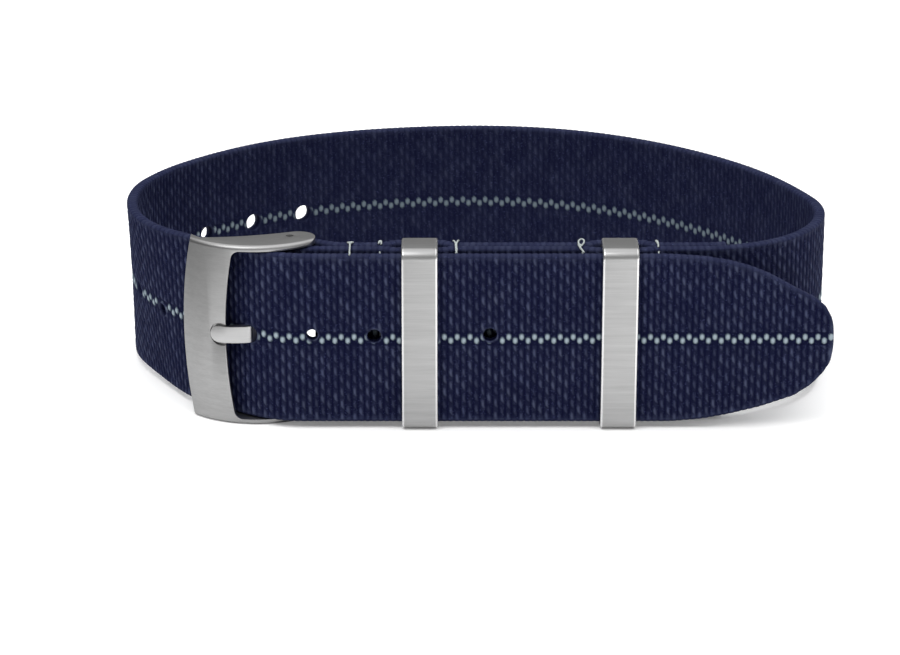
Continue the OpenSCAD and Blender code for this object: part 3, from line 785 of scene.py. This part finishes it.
def stitch_row(name, x, ends):
    """Lock stitches down both faces, a strand round the lower edge and the thread's ends at the upper one."""
    y0, y1 = PLY_Y - HALF - STAND, LINING_Y + HALF + STAND
    lo, hi = RIM + 0.1, RIM + WIDTH - 0.1
    lines = []
    step = (hi - lo) / STITCHES
    for k in range(STITCHES):
        a, b = lo + k * step + NEEDLE_GAP, lo + (k + 1) * step - NEEDLE_GAP
        for y, out in ((y0, -1), (y1, 1)):
            # out of the webbing, over its face in a low bow, and in again
            lines.append([(x, y - out * 0.5, a), (x, y + out * 0.02, a + 0.25),
                          (x, y + out * 0.06, (a + b) / 2),
                          (x, y + out * 0.02, b - 0.25), (x, y - out * 0.5, b)])
    z = RIM - 0.02
    lines.append([(x, y0 + 0.1, z + 0.9), (x, y0 - 0.02, z + 0.2), (x, y0 + 0.5, z - 0.08),
                  (x, (y0 + y1) / 2, z - 0.1), (x, y1 - 0.5, z - 0.08), (x, y1 + 0.02, z + 0.2),
                  (x, y1 - 0.1, z + 0.9)])
    lines += [[(x + dx, y, RIM + WIDTH + dz) for dx, y, dz in end] for end in ends]
    verts, faces = [], []
    for line in lines:
        v, f = tube(line, THREAD_R)
        faces += [tuple(i + len(verts) for i in face) for face in f]
        verts += [row(*p) for p in v]
    return add_mesh(name, verts, faces, THREAD)


# place of each row, and the strands that show at the upper edge: aside of the row, depth, above the edge
ROWS = {
    "Stitches_At_Fold": (FOLD_ROW, [
        [(-0.30, 4.5, 0.05), (-0.22, 4.2, 0.16), (0.0, 3.7, 0.2), (0.0, 2.8, 0.12), (0.01, 1.2, 0.1),
         (0.03, 0.25, 0.06)],
        [(0.32, 4.6, 0.05), (0.22, 4.3, 0.16), (0.02, 3.8, 0.2)],
        [(-0.25, 4.2, 0.18), (0.24, 4.3, 0.18)]]),
    "Stitches_Before_Near_Keeper": (KEEPER_X[0] - ROW_FROM_KEEPER, [
        [(-0.16, 4.1, 0.06), (-0.12, 4.5, 0.24), (0.08, 4.6, 0.26), (0.14, 4.3, 0.2), (0.12, 3.9, 0.06)],
        [(-0.1, 4.3, 0.2), (0.12, 4.35, 0.2)]]),
    "Stitches_After_Near_Keeper": (KEEPER_X[0] + ROW_FROM_KEEPER, [
        [(-0.3, 5.2, 0.05), (-0.26, 4.8, 0.2), (-0.05, 4.1, 0.18), (-0.03, 2.2, 0.14), (0.06, 0.9, 0.06)],
        [(0.3, 5.3, 0.05), (0.24, 4.9, 0.2), (0.05, 4.0, 0.2), (0.03, 3.0, 0.18), (0.1, 1.6, 0.12)]]),
    "Stitches_Before_Far_Keeper": (KEEPER_X[1] - ROW_FROM_KEEPER, [
        [(-0.1, 3.2, 0.14), (-0.42, 3.8, 0.2), (-0.38, 4.5, 0.32), (-0.05, 4.9, 0.38), (0.24, 4.5, 0.36),
         (0.2, 3.8, 0.28), (-0.06, 3.2, 0.2), (-0.3, 2.7, 0.16), (-0.16, 1.9, 0.16), (0.1, 1.1, 0.06)],
        [(-0.42, 3.6, 0.14), (-0.3, 2.4, 0.16), (-0.06, 1.6, 0.14)]]),
    "Stitches_After_Far_Keeper": (KEEPER_X[1] + ROW_FROM_KEEPER, [
        [(-0.2, 5.2, 0.05), (-0.16, 4.9, 0.18), (-0.02, 4.6, 0.2), (0.0, 3.8, 0.16), (-0.04, 3.0, 0.05)],
        [(-0.2, 4.9, 0.12), (-0.1, 4.4, 0.16), (-0.04, 3.8, 0.14)]]),
}
rows = [stitch_row(name, x, ends) for name, (x, ends) in ROWS.items()]


LEG_BACK = 4.6       # rear face of the keepers' back legs
CORNER_BACK, CORNER_FRONT, RIM_SOFT = 1.0, 1.15, 0.26
TOP_BOW = 0.08


def keeper(name, x):
    """Closed band of sheet, bent with round corners, its two rims softened and polished, with a painted
    highlight along them.
    As in the photo it is a hair narrower and higher than its solid, and bowed on top."""
    y0, y1, z0, z1 = FRONT_Y, LEG_BACK, 0.0, HEIGHT + 0.12
    r, wide = CORNER_BACK, CORNER_FRONT
    soft, half_x = RIM_SOFT, KEEPER_LONG / 2 - 0.06
    corners = [((y1 - r, z1 - r), 0, r), ((y0 + wide, z1 - wide), 90, wide),
               ((y0 + wide, z0 + wide), 180, wide), ((y1 - r, z0 + r), 270, r)]
    outline = []
    for (cy, cz), a0, cr in corners:
        for k in range(13):
            a = math.radians(a0 + 7.5 * k)
            c, d = math.cos(a), math.sin(a)
            outline.append((cy + c * (cr - r), cz + d * (cr - r), c, d))
        if a0 == 0:
            for k in (0.15, 0.3, 0.5, 0.7, 0.85):
                place = y1 - r + k * (y0 + wide - y1 + r)
                outline.append((place, z1 - r + 4 * TOP_BOW * k * (1 - k), -0.12 * (k - 0.5), 1.0))
    turn = [(soft * (1 - sind(a)), soft * (1 - cosd(a))) for a in (90, 67.5, 45, 22.5, 0)]
    inner = r - KEEPER_WALL
    section = [(-half_x + a, r - b) for a, b in turn] + [(half_x - a, r - b) for a, b in turn[::-1]]
    section += [(half_x - a, inner + b) for a, b in turn] + [(-half_x + a, inner + b) for a, b in turn[::-1]]
    verts, k, n = [], len(section), len(outline)
    for cy, cz, dy, dz in outline:
        verts += [row(x + sx, cy + dy * rr, cz + dz * rr) for sx, rr in section]
    faces = [(i * k + j, i * k + (j + 1) % k, (i + 1) % n * k + (j + 1) % k, (i + 1) % n * k + j)
             for i in range(n) for j in range(k)]
    o = add_mesh(name, verts, faces, BRUSHED)
    o.data.materials.append(POLISHED_EDGE_HIGHLIGHT)
    outer_rims = (0, 1, 2, 3, 5, 6, 7, 8)
    slots = [int(i % k in outer_rims) for i in range(len(o.data.polygons))]
    o.data.polygons.foreach_set("material_index", slots)
    face_outwards(o)
    o.data.set_sharp_from_angle(angle=math.radians(50))
    return o


# each sits a hair off its planned place, as in the photo
keeper_near = keeper("Keeper_Near_Buckle", KEEPER_X[0] + 0.18)
keeper_far = keeper("Keeper_Far", KEEPER_X[1] - 0.1)


def cad_skin(node, weld):
    """The CAD node's own skin, with points that lie nearer than weld, in m, made one."""
    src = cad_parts[node]
    bm = bmesh.new()
    bm.from_mesh(src.data)
    bmesh.ops.transform(bm, matrix=src.matrix_world, verts=bm.verts)
    bmesh.ops.remove_doubles(bm, verts=bm.verts, dist=weld)
    return bm


def cut_across(bm, place, normal, **settings):
    return bmesh.ops.bisect_plane(bm, geom=[*bm.verts, *bm.edges, *bm.faces], plane_co=place, plane_no=normal,
                                  **settings)


def smooth_object(name, bm, *materials, sharp=None):
    """An object from bm, smooth all over, or up to edges sharper than an angle."""
    bmesh.ops.recalc_face_normals(bm, faces=bm.faces)
    me = bpy.data.meshes.new(name)
    bm.to_mesh(me)
    bm.free()
    me.polygons.foreach_set("use_smooth", [True] * len(me.polygons))
    if sharp:
        me.set_sharp_from_angle(angle=math.radians(sharp))
    return add_object(name, me, *materials)


FLAT, EDGE, CREASE = 0.6, 28, 35     # degrees: faces that are made one, edges rounded, edges shaded sharp


def softened(name, node, material, width, reshape, rings=()):
    """The CAD node's skin with its edges rounded; rings are places along the strap where it may bend."""
    bm = cad_skin(node, 0.002 * MM)
    bmesh.ops.dissolve_limit(bm, angle_limit=math.radians(FLAT), verts=bm.verts, edges=bm.edges)
    for x in rings:
        cut_across(bm, row(x, 0, 0), (1, 0, 0))
    for w in bm.verts:
        w.co = reshape(w.co)
    hard = [e for e in bm.edges if len(e.link_faces) == 2 and e.calc_face_angle(0) > math.radians(EDGE)]
    done = bmesh.ops.bevel(bm, geom=hard, offset=width * MM, segments=3, profile=0.5, affect="EDGES",
                           clamp_overlap=True)
    # rounded edges get the polished steel with its painted highlight
    for f in done["faces"]:
        f.material_index = 1
    return smooth_object(name, bm, material, POLISHED_EDGE_HIGHLIGHT, sharp=CREASE)


PLATE_OUT = 0.018    # share by which the plate stands further from the bar than its solid
# how far back the tang is eased at places along the strap, and where it may bend
TANG_BACK = ((-28.6, 0), (-28.2, 0.05), (-27.5, 0.24), (-26.5, 0.68), (-26.0, 0.94), (-25.6, 1.2),
             (-25.2, 1.46), (-24.5, 1.15), (-23.5, 0.5), (-22.6, 0))
TANG_RINGS = (-28.9, -28.6, -28.4, -28.2, -27.8, -27.4, -27.0, -26.6, -26.2, -25.9, -25.6, -24.8, -24.2,
              -23.6, -23.0)


def drawn_out(co):
    """The plate stands a touch further from the bar than its solid."""
    x = co.x / MM - SHIFT[0]
    return Vector((co.x + MM * PLATE_OUT * min(x - BAR[0], 0), co.y, co.z))


def eased_back(co):
    """The tang lies level in front of the strap and turns back into its hole."""
    back = float(np.interp(co.x / MM - SHIFT[0], *zip(*TANG_BACK)))
    return drawn_out(Vector((co.x, co.y + MM * back, co.z)))


buckle = softened("Buckle_Frame_Brushed", "buckle_frame", BRUSHED, 0.17, drawn_out)
tang = softened("Tang_Brushed", "tang", SATIN, 0.10, eased_back, rings=TANG_RINGS)


def half_spring(name, up):
    """One half of the coil spring, cut off at the bar's middle and closed at the cut."""
    bm = cad_skin("bar_spring", 0.0001 * MM)
    middle = row(*BAR, MID_Z)
    cut = cut_across(bm, middle, (0, 0, up), clear_inner=True)
    rim = [e for e in cut["geom_cut"] if isinstance(e, bmesh.types.BMEdge)]
    bmesh.ops.holes_fill(bm, edges=rim, sides=0)
    o = smooth_object(name, bm, TURNED)
    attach(o, "strap")
    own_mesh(o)
    return o


spring_up = half_spring("Bar_Spring_Upper_Half", 1)
half_spring("Bar_Spring_Lower_Half", -1)
for node in ("bar_tube", "plunger_top", "plunger_bottom"):
    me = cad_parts[node].data
    me.materials.clear()
    me.materials.append(TURNED)

# which body each piece rides on; the CAD nodes that the pieces stand in for are hidden
for o in (tail_a, outer, fold, lining, *rows):
    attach(o, "strap")
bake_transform(tail_b)
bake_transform(left_a)
for o in (left_b, back_a, back_b, right):
    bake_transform(o)
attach(keeper_near, "keeper_near")
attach(keeper_far, "keeper_far")
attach(buckle, "buckle_frame")
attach(tang, "tang")
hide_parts("tail_webbing")
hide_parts("tail_at_buckle")
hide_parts("left_side")
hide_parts("back")
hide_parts("right_side")
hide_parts("outer_layer")
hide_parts("bar_fold")
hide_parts("lining_layer")
for i, o in enumerate(rows):
    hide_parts(f"stitch_row_{i + 1}")
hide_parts("keeper_near")
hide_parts("keeper_far")
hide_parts("buckle_frame")
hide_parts("tang")
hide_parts("bar_spring")

# white sweep, lifted a little for the camera so that its shadow stays pale; what mirrors it sees it greyer,
# and darkest left of the loop, which is what shades the bowed plate; what it lights gets one even grey
FLOOR_SIZE, FLOOR_WHITE, CAMERA_LIFT, EVEN_GREY = 3.0, (0.97, 0.97, 0.97, 1), 0.16, 0.78
floor_mat, ft, fp = new_material("Studio_Floor", Roughness=1.0, Specular_IOR_Level=0.0,
                                 Emission_Color=(1, 1, 1, 1))
path = add(ft, "ShaderNodeLightPath").outputs
spot = add(ft, "ShaderNodeNewGeometry")
along_x = add(ft, "ShaderNodeSeparateXYZ", [(0, spot.outputs["Position"])]).outputs["X"]
# places in m, then the grey at each
left_part = spread(ft, along_x, -0.09, -0.045, 0.2, 0.69)
right_part = spread(ft, along_x, -0.02, 0.03, 0.0, 0.12)
grey = between(ft, path["Is Diffuse Ray"], maths(ft, "ADD", left_part, right_part), EVEN_GREY)
mirrored = add(ft, "ShaderNodeCombineColor", [(0, grey), (1, grey), (2, grey)]).outputs[0]
ft.links.new(mixed(ft, path["Is Camera Ray"], mirrored, FLOOR_WHITE), fp.inputs["Base Color"])
ft.links.new(maths(ft, "MULTIPLY", path["Is Camera Ray"], CAMERA_LIFT), fp.inputs["Emission Strength"])
corners = [(-FLOOR_SIZE, -FLOOR_SIZE, 0), (FLOOR_SIZE, -FLOOR_SIZE, 0), (FLOOR_SIZE, FLOOR_SIZE, 0),
           (-FLOOR_SIZE, FLOOR_SIZE, 0)]
floor = add_mesh("Studio_Floor", corners, [(0, 1, 2, 3)], floor_mat, smooth=False)

# a big soft light overhead in a grey room that is darker behind and, in what mirrors it, to the left
LAMP, LAMP_MIRRORED = 2.3, 1.05
ROOM_FRONT, ROOM_BEHIND, ROOM_LEFT = 0.32, 0.20, 0.4
scene = bpy.context.scene
world = bpy.data.worlds.new("Studio")
scene.world = world
world.use_nodes = True
wt = world.node_tree
background = wt.nodes["Background"]
coord = add(wt, "ShaderNodeTexCoord")
way = add(wt, "ShaderNodeSeparateXYZ", [(0, coord.outputs["Generated"])]).outputs
ray = add(wt, "ShaderNodeLightPath").outputs
wall = spread(wt, way["Y"], -0.6, 0.6, ROOM_FRONT, ROOM_BEHIND)
overhead = spread(wt, way["Z"], 0.54, 0.82, 0.0, 1.0, interpolation_type="SMOOTHSTEP")
lamp = between(wt, ray["Is Glossy Ray"], LAMP, LAMP_MIRRORED)
room = between(wt, overhead, wall, lamp)
dim = spread(wt, way["X"], -0.9, -0.3, ROOM_LEFT, 1.0)
lit = maths(wt, "MULTIPLY", room, between(wt, ray["Is Diffuse Ray"], dim, 1.0))
wt.links.new(between(wt, ray["Is Camera Ray"], lit, 1.0), background.inputs["Strength"])
background.inputs["Color"].default_value = (1, 1, 1, 1)

# a weak soft box, above and to the left of the camera
KEY_AT, KEY_AIM, KEY_SIZE, KEY_WATTS = Vector((-0.25, -0.3, 0.55)), Vector((0, 0, 0.01)), 0.4, 0.8
light = bpy.data.lights.new("Key", "AREA")
light.shape = "RECTANGLE"
light.size, light.size_y = KEY_SIZE, KEY_SIZE
light.energy = KEY_WATTS
key = bpy.data.objects.new("Key", light)
scene.collection.objects.link(key)
key.location = KEY_AT
key.rotation_euler = (KEY_AIM - KEY_AT).to_track_quat("-Z", "Y").to_euler()

# the camera fitted to the photo: degrees down, focal length in pixels of an image so many pixels wide
PITCH, FOCAL_PX, PX_WIDE = 20.0, 3069.85, 900
CAMERA_AT = (-3.1285, -321.8675, 128.5413 + RIM)
cam = bpy.data.cameras.new("Camera")
camera = bpy.data.objects.new("Camera", cam)
scene.collection.objects.link(camera)
camera.location = row(*CAMERA_AT)
camera.rotation_euler = (math.radians(90 - PITCH), 0, 0)
cam.sensor_width = 36
cam.lens = FOCAL_PX / PX_WIDE * cam.sensor_width
cam.clip_start, cam.clip_end = 0.01, 20
scene.camera = camera
scene.view_settings.view_transform = "Standard"
